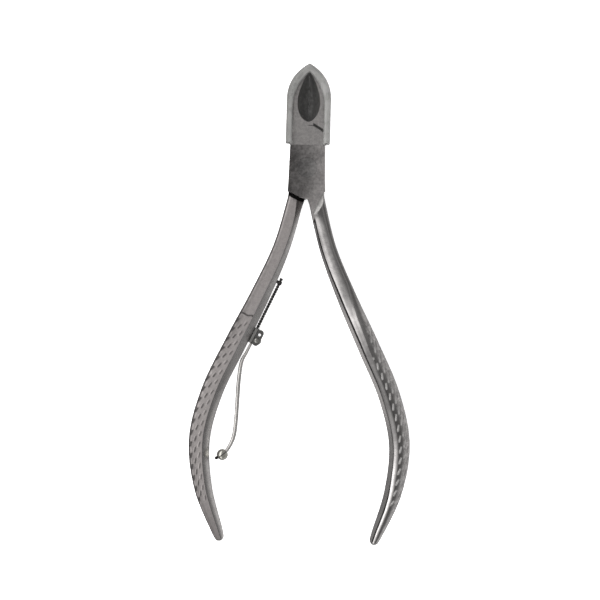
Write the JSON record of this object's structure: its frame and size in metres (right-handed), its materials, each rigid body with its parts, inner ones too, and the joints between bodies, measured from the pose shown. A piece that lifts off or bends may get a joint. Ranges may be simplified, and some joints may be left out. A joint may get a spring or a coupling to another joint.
{
  "type": "nail nipper",
  "caption": "Lap-joint steel nail nipper with bowed patterned handles, a pointed jaw under a soft clear tip cap, and a folding wire spring arm with a ball end.",
  "frame": {"origin": "on the pivot's axis, in the flat back face of the lap joint", "axes": "+Y along the closed jaws towards their tips, +X to the right seen from the front, +Z out of the front face"},
  "size_m": [0.053, 0.1152, 0.0082],
  "materials": {
    "lever_steel": "satin forged stainless steel with a stamped grip pattern",
    "rivet_steel": "ground flush",
    "lug_steel": "dark stamped steel",
    "screw_steel": "bright turned steel",
    "rod_steel": "dark twisted spring wire",
    "wire_steel": "smooth drawn spring wire",
    "ball_steel": "polished",
    "cap_vinyl": "soft clear vinyl, slightly frosted"
  },
  "bodies": {
    "back_half": {"back_lever": "lever_steel", "pivot_rivet": "rivet_steel", "spring_lug": "lug_steel", "hinge_screw": "screw_steel", "hinge_nut": "screw_steel", "rod_post": "lug_steel", "twist_rod": "rod_steel"},
    "front_half": {"front_lever": "lever_steel", "jaw_cap": "cap_vinyl"},
    "arm": {"spring_arm": "wire_steel", "arm_ball": "ball_steel"}
  },
  "joints": [
    {"name": "pivot", "type": "hinge", "parent": "back_half", "child": "front_half", "pos_m": [0, 0, 0], "axis": [0, 0, 1], "range_deg": [0, 14], "deforming": ["jaw_cap"]},
    {"name": "arm_swing", "type": "hinge", "parent": "back_half", "child": "arm", "pos_m": [-0.0109, -0.04171, 0.003], "axis": [0, 0, 1], "range_deg": [0, 78]}
  ]
}
